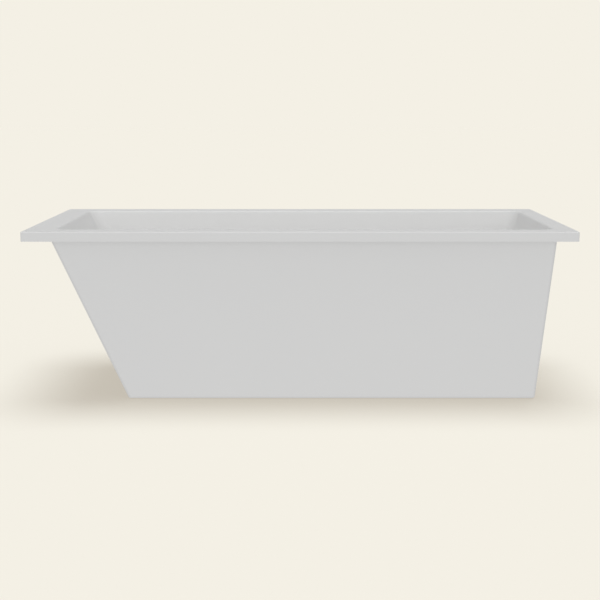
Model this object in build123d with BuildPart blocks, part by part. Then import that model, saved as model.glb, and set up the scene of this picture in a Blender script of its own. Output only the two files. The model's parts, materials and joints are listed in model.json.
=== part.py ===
from build123d import *

import os
from math import cos, pi, radians, sin, tan

os.makedirs("parts", exist_ok=True)

# Freestanding acrylic bathtub, in millimetres. X runs from the sloped head end (-X) to the foot end (+X),
# Y across the bath and Z up. The origin is on the floor, under the centre of the rim.

# ---------------------------------------- driving dimensions: the shells
length = 1700.0  # over the rim
width = 750.0  # over the rim
height = 550.0  # floor to the top of the rim
lip_height = 30.0  # the turned-down edge of the rim
acrylic = 4.0  # sheet thickness of basin and skirt
backing = 3.0  # glass-fibre layer on the dry side of the basin
rim_corner = 4.5  # rim corners, seen from above
rim_inner_corner = 0.5  # the same corners inside the sheet
rim_edge = 3.0  # round along the top of the rim
basin_edge = 8.0  # round from the deck into the basin

deck_head = 90.0  # flat deck at the backrest end
deck_foot = 59.0
deck_side = 70.0
under_floor = 135.0  # floor of the room to floor of the basin, at the waste
head_angle = radians(27)  # backrest, from the vertical
foot_angle = radians(14)
side_angle = radians(9)
floor_fall = radians(0.6)  # the basin's floor falls towards the waste
head_floor_radius = 130.0  # backrest into floor
foot_floor_radius = 60.0
basin_corner = 40.0  # upright corners, and long walls into floor

overhang_head = 76.5  # rim past the skirt, at the underside of the rim
overhang_foot = 53.0
overhang_side = 57.0
skirt_head_angle = radians(23.4)
skirt_draft = radians(4.8)
skirt_corner = 10.0
skirt_flange_radius = 4.0  # skirt wall into its top flange
skirt_bottom_radius = 8.0
skirt_return = 20.0  # inward return along the bottom edge
return_corner = 12.0
floor_gap = 2.0  # skirt stands this much clear of the floor

# ---------------------------------------- driving dimensions: base, frame and feet
batten_clearance = 2.0
deck_fillet_room = 5.0  # battens stay out of the round under the deck
bedding_least = 2.0  # resin bedding where it is thinnest
board_thickness = 18.0
board_margin = 14.0  # board inside the flat of the basin's floor
board_corner = 25.0
tube_size = 30.0
tube_wall = 2.0
tube_corner = 3.0
rail_spacing = 250.0
cap_thickness = 3.0
cap_depth = 14.0

foot_inset = 30.0  # feet in from the board's ends
cross_past_foot = 26.0
stud_radius = 6.0
stud_clearance = 0.06  # thread clearance, as plain round faces
stud_into_tube = 17.0
weld_nut_height = 12.0
lock_nut_height = 8.0
nut_across_flats = 19.0
pad_radius = 30.0
pad_height = 14.0
pad_floor = 5.0  # rubber under the stud's end
drive_height = 7.0  # hexagon for the spanner, on the stud
drive_across_flats = 17.0

screw_radius = 2.5
screw_bite = 14.0  # length of each screw in the board
screw_head_radius = 5.2
screw_head_height = 3.2
screws_per_rail = 4
screw_end_distance = 60.0

# ---------------------------------------- driving dimensions: waste, plug and overflow
waste_from_wall = 107.0  # waste axis to the foot wall, at the basin's floor
recess_radius = 43.0
recess_depth = 5.0
waste_hole_radius = 26.0
flange_radius = 36.0
flange_thickness = 2.0
flange_edge = 0.8
seat_radius = 30.0
seat_depth = 1.6
waste_thread_radius = 23.9
waste_bore_radius = 21.5
waste_tube_length = 40.0
thread_clearance = 0.1  # threads are plain round faces this far apart
upper_seal_radius = 34.0
upper_seal_thickness = 1.5
lower_seal_radius = 33.0
lower_seal_thickness = 4.0
locknut_radius = 30.0
locknut_height = 10.0
locknut_lugs = 6
lug_size = 7.0
spider_hub_radius = 11.5
spider_hub_height = 8.0
spider_hub_drop = 4.0  # hub below the seat
spider_arm = 3.0

cap_radius = 32.0
cap_edge = 3.0
cap_crown = 3.5
cap_boss_radius = 20.0
cap_boss_height = 2.5
plug_travel = 9.0
plug_clearance = 0.5  # cap above the flange when it is shut
plug_seal_radius = 27.0
plug_seal_thickness = 2.0
stem_radius = 4.0
stem_clearance = 0.08
stem_tip = 2.0  # stem below its collar
collar_radius = 6.6
collar_height = 3.0
cartridge_radius = 8.5
cartridge_head_radius = 10.5
cartridge_head_height = 1.5
cartridge_lip = 3.0  # solid length above and below the chamber
chamber_radius = 6.9
chamber_length = 30.0
spring_wire = 1.2
spring_turns = 6
spring_radius = 5.2  # to the middle of the wire

tee_drop = 1.0  # tee below the locknut
tee_cup_radius = 28.5
tee_body_radius = 24.0
tee_bore_radius = 18.0
tee_edge = 1.0  # least height between one bore and the next
inlet_reach = 54.0
inlet_radius = 15.5
inlet_bore_radius = 10.5
inlet_grip = 20.0  # overflow pipe inside the tee
tail_radius = 20.0
tail_grip_radius = 19.6  # where the tee holds it
tail_bore_radius = 18.0
tail_free = 1.0  # full radius ends this far below the nut
tail_bottom = 5.0
tail_grip = 18.0  # tailpiece inside the tee
slip_clearance = 0.12  # pipe in a socket
tail_nut_radius = 30.0
inlet_nut_radius = 19.5
nut_height = 18.0
nut_lip = 3.0
nut_ribs = 16
nut_flute_radius = 1.8
seal_height = 3.0

overflow_below_rim = 125.0
overflow_hole_radius = 25.0
overflow_tube_radius = 24.3
overflow_tube_wall = 2.0
overflow_ring_radius = 31.0
overflow_ring_thickness = 2.5
overflow_bar = 3.0
overflow_gasket_radius = 30.5
overflow_gasket_thickness = 2.0
overflow_cover_radius = 35.0
overflow_cover_depth = 13.0
overflow_cover_wall = 2.0
overflow_cover_edge = 3.0
overflow_cover_gap = 0.5  # open edge to the basin's wall
overflow_rib_width = 6.0
overflow_rib_clearance = 0.1
overflow_rib_hook = 3.0  # ribs over the ring's face
overflow_slots = 5
overflow_slot_pitch = 16.0  # degrees
overflow_slot_width = 6.0
overflow_slot_height = 5.0
duct_half_width = 32.0
duct_rise = 34.0  # above the overflow's centre
duct_wall = 2.0
duct_skirt_clearance = 1.5
duct_bottom = 245.0
pipe_radius = 12.5
pipe_wall = 1.8
pipe_skirt_distance = 15.0  # pipe axis to the inside of the skirt
pipe_bend = 34.0
spigot_wall = 1.9
spigot_length = 26.0
spigot_grip = 22.0

# ---------------------------------------- levels and places that follow
rim_under = height - lip_height
flange_top = rim_under + acrylic
deck_under = height - acrylic
floor_z = under_floor
dry = acrylic + backing  # wet face to the outside of the backing


def basin_head_x(z, grow=0.0):
    """Where the backrest plane, grown outwards, stands at the level z."""
    return -length / 2 + deck_head + (height - z) * tan(head_angle) - grow / cos(head_angle)


def basin_foot_x(z, grow=0.0):
    """Where the foot wall's plane stands at the level z."""
    return length / 2 - deck_foot - (height - z) * tan(foot_angle) + grow / cos(foot_angle)


def basin_side_y(z, grow=0.0):
    """Half the width between the long walls' planes at the level z."""
    return width / 2 - deck_side - (height - z) * tan(side_angle) + grow / cos(side_angle)


def skirt_head_x(z, grow=0.0):
    """Where the skirt's outer head plane, grown outwards, stands at the level z."""
    at_rim = -length / 2 + overhang_head
    return at_rim + (rim_under - z) * tan(skirt_head_angle) - grow / cos(skirt_head_angle)


def skirt_foot_x(z, grow=0.0):
    """Where the skirt's outer foot plane stands at the level z."""
    return length / 2 - overhang_foot - (rim_under - z) * tan(skirt_draft) + grow / cos(skirt_draft)


def skirt_side_y(z, grow=0.0):
    """Half the width between the skirt's outer long faces at the level z."""
    return width / 2 - overhang_side - (rim_under - z) * tan(skirt_draft) + grow / cos(skirt_draft)


def write_pieces(pieces):
    """Label and write pieces that a function made, given as a dictionary of name to shape."""
    for name, piece in pieces.items():
        piece.label = name
        export_step(piece, f"parts/{name}.step")


waste_x = basin_foot_x(floor_z) - waste_from_wall
recess_z = floor_z - recess_depth
waste_axis = Axis((waste_x, 0, 0), (0, 0, 1))


# ---------------------------------------- the two tapered blocks behind the shells
def side_plane(half_width, z, angle, side):
    """A long wall's plane through y = side * half_width at the level z, facing out and down."""
    return Plane(origin=(0, side * half_width, z), z_dir=(0, side * cos(angle), -sin(angle)))


def basin_block(grow, top):
    """The wet space of the basin as a solid, grown outwards by a thickness, up to the level top."""
    fall, lean_head, lean_foot = tan(floor_fall), tan(head_angle), tan(foot_angle)
    floor_at_zero = floor_z + waste_x * fall - grow / cos(floor_fall)
    head_corner = (basin_head_x(floor_at_zero, grow)) / (1 - fall * lean_head)
    foot_corner = (basin_foot_x(floor_at_zero, grow)) / (1 + fall * lean_foot)
    with BuildPart() as block:
        with BuildSketch(Plane.XZ) as profile:
            with BuildLine():
                Polyline(
                    (basin_head_x(top, grow), top),
                    (head_corner, floor_at_zero - head_corner * fall),
                    (foot_corner, floor_at_zero - foot_corner * fall),
                    (basin_foot_x(top, grow), top),
                    close=True,
                )
            make_face()
            low_corners = profile.vertices().filter_by(lambda v: v.Y < top - 1)
            fillet(low_corners.sort_by(Axis.X)[0], head_floor_radius + grow)
            low_corners = profile.vertices().filter_by(lambda v: v.Y < top - 1)
            fillet(low_corners.sort_by(Axis.X)[-1], foot_floor_radius + grow)
        extrude(amount=width, both=True)
        for side in (1, -1):
            split(
                bisect_by=side_plane(basin_side_y(height, grow), height, side_angle, side),
                keep=Keep.BOTTOM,
            )
        for side in (0, -1):
            wall = block.faces().sort_by(Axis.Y)[side]
            fillet(wall.edges().filter_by(lambda e: e.center().Z < top - 1), basin_corner + grow)
    return block.part


def skirt_block(grow, bottom, top, corner, bottom_radius):
    """The tapered outside of the skirt as a solid, grown outwards (or inwards, below zero)."""
    with BuildPart() as block:
        with BuildSketch(Plane.XZ):
            with BuildLine():
                Polyline(
                    (skirt_head_x(top, grow), top),
                    (skirt_head_x(bottom, grow), bottom),
                    (skirt_foot_x(bottom, grow), bottom),
                    (skirt_foot_x(top, grow), top),
                    close=True,
                )
            make_face()
        extrude(amount=width, both=True)
        for side in (1, -1):
            split(
                bisect_by=side_plane(skirt_side_y(rim_under, grow), rim_under, skirt_draft, side),
                keep=Keep.BOTTOM,
            )
        upright = block.edges().filter_by(lambda e: bottom + 1 < e.center().Z < top - 1)
        fillet(upright, corner)
        if bottom_radius > 0:
            fillet(block.faces().sort_by(Axis.Z)[0].edges(), bottom_radius)
    return block.part


basin_wet = basin_block(0, height)
basin_dry = basin_block(acrylic, height)
backing_outer = basin_block(dry, deck_under - deck_fillet_room)
bedding_cutter = basin_block(dry, height)
skirt_outer = skirt_block(0, floor_gap, flange_top, skirt_corner, skirt_bottom_radius)
skirt_inner = skirt_block(
    -acrylic,
    floor_gap + acrylic,
    flange_top,
    skirt_corner - acrylic,
    skirt_bottom_radius - acrylic,
)
skirt_opening = skirt_block(-skirt_return, floor_gap, floor_gap + 2 * acrylic, return_corner, 0)

overflow_z = height - overflow_below_rim
overflow_plane = Plane(
    origin=(basin_foot_x(overflow_z), 0, overflow_z),
    x_dir=(0, -1, 0),
    z_dir=(-cos(foot_angle), 0, sin(foot_angle)),
)  # local z points into the bath, local y up the wall


def inside_deck(edge):
    """True for an edge that lies round the basin and not along the rim's outer edge."""
    centre = edge.center()
    return abs(centre.X) < length / 2 - deck_foot / 2 and abs(centre.Y) < width / 2 - deck_side / 2


def round_the_waste(edge, radius):
    """True for a full ring of this radius about the waste's axis."""
    box = edge.bounding_box()
    return abs(box.size.X - 2 * radius) < 0.5 and abs(box.center().X - waste_x) < 0.5


# ---------------------------------------- basin: one formed acrylic sheet
with BuildPart() as basin_shell:
    with BuildSketch(Plane.XY.offset(rim_under)):
        RectangleRounded(length, width, rim_corner)
    extrude(amount=lip_height)
    fillet(basin_shell.faces().sort_by(Axis.Z)[-1].edges(), rim_edge)
    with BuildSketch(Plane.XY.offset(rim_under)):
        RectangleRounded(length - 2 * acrylic, width - 2 * acrylic, rim_inner_corner)
    extrude(amount=lip_height - acrylic, mode=Mode.SUBTRACT)
    add(basin_dry)
    with BuildSketch(Plane.XY.offset(recess_z - acrylic)):
        with Locations((waste_x, 0)):
            Circle(recess_radius + acrylic)
    extrude(amount=recess_depth + acrylic)
    add(basin_wet, mode=Mode.SUBTRACT)
    with BuildSketch(Plane.XY.offset(recess_z)):
        with Locations((waste_x, 0)):
            Circle(recess_radius)
    extrude(amount=2 * recess_depth, mode=Mode.SUBTRACT)
    with BuildSketch(Plane.XY.offset(recess_z - 2 * acrylic)):
        with Locations((waste_x, 0)):
            Circle(waste_hole_radius)
    extrude(amount=3 * acrylic, mode=Mode.SUBTRACT)
    with BuildSketch(overflow_plane):
        Circle(overflow_hole_radius)
    extrude(amount=2 * acrylic, both=True, mode=Mode.SUBTRACT)
    fillet(basin_shell.edges().filter_by(
        lambda e: abs(e.center().Z - height) < 0.01 and inside_deck(e)), basin_edge)
    fillet(basin_shell.edges().filter_by(
        lambda e: abs(e.center().Z - deck_under) < 0.01 and inside_deck(e)), basin_edge - acrylic)
    fillet(basin_shell.edges().filter_by(
        lambda e: round_the_waste(e, recess_radius) and e.center().Z > recess_z + 1), recess_depth / 2)
basin_shell.part.label = "basin_shell"
export_step(basin_shell.part, "parts/basin_shell.step")

# ---------------------------------------- basin: glass-fibre backing, bonded all over
with BuildPart() as basin_backing:
    add(backing_outer)
    with BuildSketch(Plane.XY.offset(recess_z - dry)):
        with Locations((waste_x, 0)):
            Circle(recess_radius + dry)
    extrude(amount=recess_depth + dry)
    add(basin_dry, mode=Mode.SUBTRACT)
    with BuildSketch(Plane.XY.offset(recess_z - acrylic)):
        with Locations((waste_x, 0)):
            Circle(recess_radius + acrylic)
    extrude(amount=2 * recess_depth, mode=Mode.SUBTRACT)
    with BuildSketch(Plane.XY.offset(recess_z - 2 * dry)):
        with Locations((waste_x, 0)):
            Circle(waste_hole_radius)
    extrude(amount=3 * dry, mode=Mode.SUBTRACT)
    with BuildSketch(overflow_plane):
        Circle(overflow_hole_radius)
    extrude(amount=2 * dry, both=True, mode=Mode.SUBTRACT)
basin_backing.part.label = "basin_backing"
export_step(basin_backing.part, "parts/basin_backing.step")

# ---------------------------------------- skirt: the outer sheet, with a flange under the rim
with BuildPart() as skirt_shell:
    add(skirt_outer)
    with BuildSketch(Plane.XY.offset(rim_under)):
        RectangleRounded(length - 2 * acrylic, width - 2 * acrylic, rim_inner_corner)
    extrude(amount=acrylic)
    fillet(skirt_shell.edges().filter_by(
        lambda e: abs(e.center().Z - rim_under) < 0.01 and inside_deck(e)), skirt_flange_radius)
    add(skirt_inner, mode=Mode.SUBTRACT)
    add(skirt_opening, mode=Mode.SUBTRACT)
skirt_shell.part.label = "skirt_shell"
export_step(skirt_shell.part, "parts/skirt_shell.step")

# ---------------------------------------- timber battens inside the rim
batten_x = length / 2 - acrylic - batten_clearance
batten_y = width / 2 - acrylic - batten_clearance
batten_inner_y = basin_side_y(deck_under, dry) + deck_fillet_room
batten_z = (flange_top + deck_under) / 2
batten_height = deck_under - flange_top


def batten(x_low, x_high, y_low, y_high):
    """One rectangular strip that fills the rim from the skirt's flange to the deck."""
    with BuildPart() as strip:
        with Locations(((x_low + x_high) / 2, (y_low + y_high) / 2, batten_z)):
            Box(x_high - x_low, y_high - y_low, batten_height)
    return strip.part


rim_battens = {
    "rim_batten_front": batten(-batten_x, batten_x, -batten_y, -batten_inner_y),
    "rim_batten_rear": batten(-batten_x, batten_x, batten_inner_y, batten_y),
    "rim_batten_head": batten(
        -batten_x,
        basin_head_x(deck_under, dry) - deck_fillet_room,
        -batten_inner_y,
        batten_inner_y,
    ),
    "rim_batten_foot": batten(
        basin_foot_x(deck_under, dry) + deck_fillet_room,
        batten_x,
        -batten_inner_y,
        batten_inner_y,
    ),
}
write_pieces(rim_battens)

# ---------------------------------------- base board in its resin bed
board_top = floor_z - dry - bedding_least
board_bottom = board_top - board_thickness
flat_head_x = basin_head_x(floor_z) + head_floor_radius * tan((pi / 2 - head_angle) / 2)
flat_half_width = basin_side_y(floor_z) - basin_corner * tan((pi / 2 - side_angle) / 2)
board_head_x = flat_head_x + board_margin
board_foot_x = waste_x - recess_radius - dry - board_margin
board_half_width = flat_half_width - board_margin
board_length = board_foot_x - board_head_x
board_x = (board_foot_x + board_head_x) / 2

tube_bottom = board_bottom - tube_size
cross_head_x = board_head_x + foot_inset
cross_foot_x = board_foot_x - foot_inset
cross_middle_x = (cross_head_x + cross_foot_x) / 2
foot_y = board_half_width - cross_past_foot
cross_half_length = foot_y + cross_past_foot
rail_y = rail_spacing / 2

rail_spans = (
    (cross_head_x + tube_size / 2, cross_middle_x - tube_size / 2),
    (cross_middle_x + tube_size / 2, cross_foot_x - tube_size / 2),
)
rail_start = rail_spans[0][0]
rail_end = rail_spans[1][1]
screw_pitch = (rail_end - rail_start - 2 * screw_end_distance) / (screws_per_rail - 1)
screw_places = [
    (rail_start + screw_end_distance + n * screw_pitch, side * rail_y)
    for side in (-1, 1)
    for n in range(screws_per_rail)
]

with BuildPart() as base_bedding:
    with BuildSketch(Plane.XY.offset(board_top)):
        with Locations((board_x, 0)):
            RectangleRounded(board_length, 2 * board_half_width, board_corner)
    extrude(amount=3 * dry)
    add(bedding_cutter, mode=Mode.SUBTRACT)
base_bedding.part.label = "base_bedding"
export_step(base_bedding.part, "parts/base_bedding.step")

with BuildPart() as base_board:
    with BuildSketch(Plane.XY.offset(board_bottom)):
        with Locations((board_x, 0)):
            RectangleRounded(board_length, 2 * board_half_width, board_corner)
    extrude(amount=board_thickness)
    with BuildSketch(Plane.XY.offset(board_bottom)):
        with Locations(*screw_places):
            Circle(screw_radius)
    extrude(amount=screw_bite, mode=Mode.SUBTRACT)
base_board.part.label = "base_board"
export_step(base_board.part, "parts/base_board.step")

# ---------------------------------------- steel frame of square tube
tube_inside = tube_size - 2 * tube_wall
tube_inside_corner = tube_corner - tube_wall


def tube_profile():
    """The tube's section, drawn into the sketch that is open."""
    RectangleRounded(tube_size, tube_size, tube_corner)
    RectangleRounded(tube_inside, tube_inside, tube_inside_corner, mode=Mode.SUBTRACT)


tube_z = tube_bottom + tube_size / 2
stud_hole_radius = stud_radius + stud_clearance


def cross_tube(x, half_length, stud_holes):
    """A tube across the bath, with holes for the feet's studs through its lower wall."""
    with BuildPart() as tube:
        with BuildSketch(Plane(origin=(x, 0, tube_z), x_dir=(1, 0, 0), z_dir=(0, 1, 0))):
            tube_profile()
        extrude(amount=half_length, both=True)
        if stud_holes:
            with BuildSketch(Plane.XY.offset(tube_bottom)):
                with Locations((x, -foot_y), (x, foot_y)):
                    Circle(stud_hole_radius)
            extrude(amount=2 * tube_wall, mode=Mode.SUBTRACT)
    return tube.part


def rail(side):
    """A rail along the bath, as two lengths that butt against the middle cross tube."""
    with BuildPart() as tube:
        for start, end in rail_spans:
            end_plane = Plane(origin=(start, side * rail_y, tube_z), x_dir=(0, 1, 0), z_dir=(1, 0, 0))
            with BuildSketch(end_plane):
                tube_profile()
            extrude(amount=end - start)
        with BuildSketch(Plane.XY.offset(tube_bottom)):
            with Locations(*[place for place in screw_places if place[1] * side > 0]):
                Circle(screw_radius)
        extrude(amount=tube_size, mode=Mode.SUBTRACT)
    return tube.part


frame_tubes = {
    "frame_cross_head": cross_tube(cross_head_x, cross_half_length, True),
    "frame_cross_middle": cross_tube(cross_middle_x, rail_y + tube_size, False),
    "frame_cross_foot": cross_tube(cross_foot_x, cross_half_length, True),
    "frame_rail_front": rail(-1),
    "frame_rail_rear": rail(1),
}
write_pieces(frame_tubes)

with BuildPart() as frame_end_caps:
    for x, half in (
        (cross_head_x, cross_half_length),
        (cross_middle_x, rail_y + tube_size),
        (cross_foot_x, cross_half_length),
    ):
        for side in (-1, 1):
            end = Plane(origin=(x, side * half, tube_z), x_dir=(1, 0, 0), z_dir=(0, side, 0))
            with BuildSketch(end):
                RectangleRounded(tube_size, tube_size, tube_corner)
            extrude(amount=cap_thickness)
            with BuildSketch(end):
                RectangleRounded(tube_inside, tube_inside, tube_inside_corner)
            extrude(amount=-cap_depth)
frame_end_caps.part.label = "frame_end_caps"
export_step(frame_end_caps.part, "parts/frame_end_caps.step")

with BuildPart() as frame_screws:
    with BuildSketch(Plane.XY.offset(tube_bottom)):
        with Locations(*screw_places):
            Circle(screw_radius)
    extrude(amount=tube_size + screw_bite)
    with BuildSketch(Plane.XY.offset(tube_bottom)):
        with Locations(*screw_places):
            Circle(screw_head_radius)
    extrude(amount=-screw_head_height)
    fillet(frame_screws.faces().sort_by(Axis.Z)[:len(screw_places)].edges(), screw_head_height / 3)
    with BuildSketch(Plane.XY.offset(tube_bottom - screw_head_height)):
        with Locations(*screw_places):
            RegularPolygon(screw_radius, 6)
    extrude(amount=screw_head_height * 0.6, mode=Mode.SUBTRACT)
frame_screws.part.label = "frame_screws"
export_step(frame_screws.part, "parts/frame_screws.step")

# ---------------------------------------- levelling feet
feet = {
    "head_front": (cross_head_x, -foot_y),
    "head_rear": (cross_head_x, foot_y),
    "foot_front": (cross_foot_x, -foot_y),
    "foot_rear": (cross_foot_x, foot_y),
}
weld_nut_bottom = tube_bottom - weld_nut_height
nut_corner_radius = nut_across_flats / 2 / cos(pi / 6)


def hex_nut(places, bottom, nut_height):
    """Hexagon nuts about upright axes at the places given."""
    with BuildPart() as nut:
        with BuildSketch(Plane.XY.offset(bottom)):
            with Locations(*places):
                RegularPolygon(nut_corner_radius, 6)
        extrude(amount=nut_height)
        with BuildSketch(Plane.XY.offset(bottom)):
            with Locations(*places):
                Circle(stud_hole_radius)
        extrude(amount=nut_height, mode=Mode.SUBTRACT)
    return nut.part


def foot_pad(x, y):
    """A round rubber-soled pad with a socket that the stud turns in."""
    with BuildPart() as pad:
        with BuildSketch(Plane(origin=(x, y, 0), x_dir=(1, 0, 0), z_dir=(0, -1, 0))):
            with BuildLine():
                edge_top = pad_height * 0.4
                neck = stud_radius + pad_floor
                Polyline((0, 0), (pad_radius, 0), (pad_radius, edge_top))
                ThreePointArc(
                    (pad_radius, edge_top),
                    ((pad_radius + neck) / 2 - 1, pad_height * 0.78),
                    (neck, pad_height),
                )
                Polyline((neck, pad_height), (stud_hole_radius, pad_height), (stud_hole_radius, pad_floor),
                         (0, pad_floor), (0, 0))
            make_face()
        revolve(axis=Axis((x, y, 0), (0, 0, 1)))
        fillet(pad.faces().sort_by(Axis.Z)[0].edges(), 1.5)
    return pad.part


def foot_stud(x, y):
    """A threaded stud with a hexagon above the pad for a spanner."""
    with BuildPart() as stud:
        with BuildSketch(Plane.XY.offset(pad_floor)):
            with Locations((x, y)):
                Circle(stud_radius)
        extrude(amount=tube_bottom + stud_into_tube - pad_floor)
        chamfer(stud.faces().sort_by(Axis.Z)[-1].edges(), 1.2)
        with BuildSketch(Plane.XY.offset(pad_height)):
            with Locations((x, y)):
                RegularPolygon(drive_across_flats / 2 / cos(pi / 6), 6)
        extrude(amount=drive_height)
    return stud.part


for place, (x, y) in feet.items():
    write_pieces({
        f"foot_pad_{place}": foot_pad(x, y),
        f"foot_stud_{place}": foot_stud(x, y),
        f"foot_locknut_{place}": hex_nut([(x, y)], weld_nut_bottom - lock_nut_height, lock_nut_height),
    })
write_pieces({"frame_weld_nuts": hex_nut(list(feet.values()), weld_nut_bottom, weld_nut_height)})

# ---------------------------------------- waste fitting
flange_z = recess_z + upper_seal_thickness
flange_face = flange_z + flange_thickness
seat_z = flange_face - seat_depth
waste_tube_bottom = flange_z - waste_tube_length
lower_seal_bottom = recess_z - dry - lower_seal_thickness
locknut_bottom = lower_seal_bottom - locknut_height
hub_top = seat_z - spider_hub_drop


def at_waste(z):
    """A level plane centred on the waste's axis."""
    return Plane(origin=(waste_x, 0, z))


def ring_at_waste(outer, inner, bottom, top):
    """A plain ring about the waste's axis."""
    with BuildPart() as ring:
        with BuildSketch(at_waste(bottom)):
            Circle(outer)
            Circle(inner, mode=Mode.SUBTRACT)
        extrude(amount=top - bottom)
    return ring.part


seal_bore = waste_thread_radius + thread_clearance
write_pieces({
    "waste_seal_upper": ring_at_waste(upper_seal_radius, seal_bore, recess_z, flange_z),
    "waste_seal_lower": ring_at_waste(lower_seal_radius, seal_bore, lower_seal_bottom, recess_z - dry),
})

with BuildPart() as waste_flange:
    with BuildSketch(at_waste(flange_z)):
        Circle(flange_radius)
    extrude(amount=flange_thickness)
    fillet(waste_flange.faces().sort_by(Axis.Z)[-1].edges(), flange_edge)
    with BuildSketch(at_waste(waste_tube_bottom)):
        Circle(waste_thread_radius)
    extrude(amount=waste_tube_length)
    with BuildSketch(at_waste(seat_z)):
        Circle(seat_radius)
    extrude(amount=2 * seat_depth, mode=Mode.SUBTRACT)
    with BuildSketch(at_waste(waste_tube_bottom)):
        Circle(waste_bore_radius)
    extrude(amount=waste_tube_length + flange_thickness, mode=Mode.SUBTRACT)
    with BuildSketch(at_waste(hub_top)):
        Circle(spider_hub_radius)
        Rectangle(waste_bore_radius + waste_thread_radius, spider_arm)
        Rectangle(spider_arm, waste_bore_radius + waste_thread_radius)
        Circle(cartridge_radius + thread_clearance, mode=Mode.SUBTRACT)
    extrude(amount=-spider_hub_height)
waste_flange.part.label = "waste_flange"
export_step(waste_flange.part, "parts/waste_flange.step")

with BuildPart() as waste_locknut:
    with BuildSketch(at_waste(locknut_bottom)):
        Circle(locknut_radius)
        with PolarLocations(locknut_radius, locknut_lugs):
            Rectangle(lug_size, lug_size)
        Circle(seal_bore, mode=Mode.SUBTRACT)
    extrude(amount=locknut_height)
waste_locknut.part.label = "waste_locknut"
export_step(waste_locknut.part, "parts/waste_locknut.step")

# ---------------------------------------- tee, tailpiece and their nuts
tee_top = locknut_bottom - tee_drop
inlet_z = waste_tube_bottom - tee_edge - inlet_bore_radius
tail_top = inlet_z - inlet_bore_radius - tee_edge
tee_bottom = tail_top - tail_grip
inlet_end = waste_x + inlet_reach
tail_socket = Plane(origin=(waste_x, 0, tee_bottom), z_dir=(0, 0, -1))
inlet_socket = Plane(origin=(inlet_end, 0, inlet_z), z_dir=(1, 0, 0))

with BuildPart() as waste_tee:
    with BuildSketch(at_waste(waste_tube_bottom - tee_edge)):
        Circle(tee_cup_radius)
    extrude(amount=tee_top - waste_tube_bottom + tee_edge)
    with BuildSketch(at_waste(tee_bottom)):
        Circle(tee_body_radius)
    extrude(amount=waste_tube_bottom - tee_bottom)
    with BuildSketch(inlet_socket):
        Circle(inlet_radius)
    extrude(amount=-inlet_reach)
    with BuildSketch(at_waste(waste_tube_bottom)):
        Circle(seal_bore)
    extrude(amount=tee_top - waste_tube_bottom, mode=Mode.SUBTRACT)
    with BuildSketch(at_waste(tail_top)):
        Circle(tee_bore_radius)
    extrude(amount=waste_tube_bottom - tail_top, mode=Mode.SUBTRACT)
    with BuildSketch(tail_socket):
        Circle(tail_grip_radius + slip_clearance)
    extrude(amount=-tail_grip, mode=Mode.SUBTRACT)
    with BuildSketch(inlet_socket):
        Circle(inlet_bore_radius)
    extrude(amount=-inlet_reach, mode=Mode.SUBTRACT)
    with BuildSketch(inlet_socket):
        Circle(pipe_radius + slip_clearance)
    extrude(amount=-inlet_grip, mode=Mode.SUBTRACT)
waste_tee.part.label = "waste_tee"
export_step(waste_tee.part, "parts/waste_tee.step")

tail_step = tee_bottom - seal_height - nut_lip - tail_free
with BuildPart() as waste_tailpiece:
    with BuildSketch(at_waste(tail_bottom)):
        Circle(tail_radius)
    extrude(amount=tail_step - tail_bottom)
    with BuildSketch(at_waste(tail_step)):
        Circle(tail_grip_radius)
    extrude(amount=tail_top - tail_step)
    with BuildSketch(at_waste(tail_bottom)):
        Circle(tail_bore_radius)
    extrude(amount=tail_top - tail_bottom, mode=Mode.SUBTRACT)
waste_tailpiece.part.label = "waste_tailpiece"
export_step(waste_tailpiece.part, "parts/waste_tailpiece.step")


def compression_nut(socket, outer, thread, hole):
    """A fluted nut screwed over a socket's end, whose lip holds a seal against that end."""
    with BuildPart() as nut:
        with BuildSketch(socket.offset(seal_height + nut_lip)):
            Circle(outer)
            with PolarLocations(outer, nut_ribs):
                Circle(nut_flute_radius, mode=Mode.SUBTRACT)
            Circle(hole + slip_clearance, mode=Mode.SUBTRACT)
        extrude(amount=-nut_height)
        with BuildSketch(socket.offset(seal_height)):
            Circle(thread + thread_clearance)
        extrude(amount=nut_lip - nut_height, mode=Mode.SUBTRACT)
    return nut.part


def compression_seal(socket, outer, hole):
    """The rubber ring between a socket's end and its nut's lip."""
    with BuildPart() as ring:
        with BuildSketch(socket):
            Circle(outer)
            Circle(hole + slip_clearance, mode=Mode.SUBTRACT)
        extrude(amount=seal_height)
    return ring.part


write_pieces({
    "tail_nut": compression_nut(tail_socket, tail_nut_radius, tee_body_radius, tail_grip_radius),
    "tail_seal": compression_seal(tail_socket, tee_body_radius, tail_grip_radius),
    "inlet_nut": compression_nut(inlet_socket, inlet_nut_radius, inlet_radius, pipe_radius),
    "inlet_seal": compression_seal(inlet_socket, inlet_radius, pipe_radius),
})

# ---------------------------------------- plug, drawn open
cap_under = flange_face + plug_clearance + plug_travel
cartridge_top = hub_top + cartridge_head_height
chamber_top = cartridge_top - cartridge_lip
chamber_bottom = chamber_top - chamber_length
cartridge_bottom = chamber_bottom - cartridge_lip
collar_bottom = chamber_top - collar_height

with BuildPart() as plug_cap:
    with BuildSketch(Plane(origin=(waste_x, 0, cap_under), x_dir=(1, 0, 0), z_dir=(0, -1, 0))):
        with BuildLine():
            Polyline((0, cap_edge + cap_crown), (0, 0), (cap_radius, 0), (cap_radius, cap_edge))
            TangentArc((0, cap_edge + cap_crown), (cap_radius, cap_edge), tangent=(1, 0))
        make_face()
    revolve(axis=waste_axis)
    with BuildSketch(at_waste(cap_under)):
        Circle(cap_boss_radius)
        Circle(stem_radius, mode=Mode.SUBTRACT)
    extrude(amount=-cap_boss_height)
plug_cap.part.label = "plug_cap"
export_step(plug_cap.part, "parts/plug_cap.step")

plug_seal_bottom = cap_under - plug_seal_thickness
write_pieces({"plug_seal": ring_at_waste(plug_seal_radius, cap_boss_radius, plug_seal_bottom, cap_under)})

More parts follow.
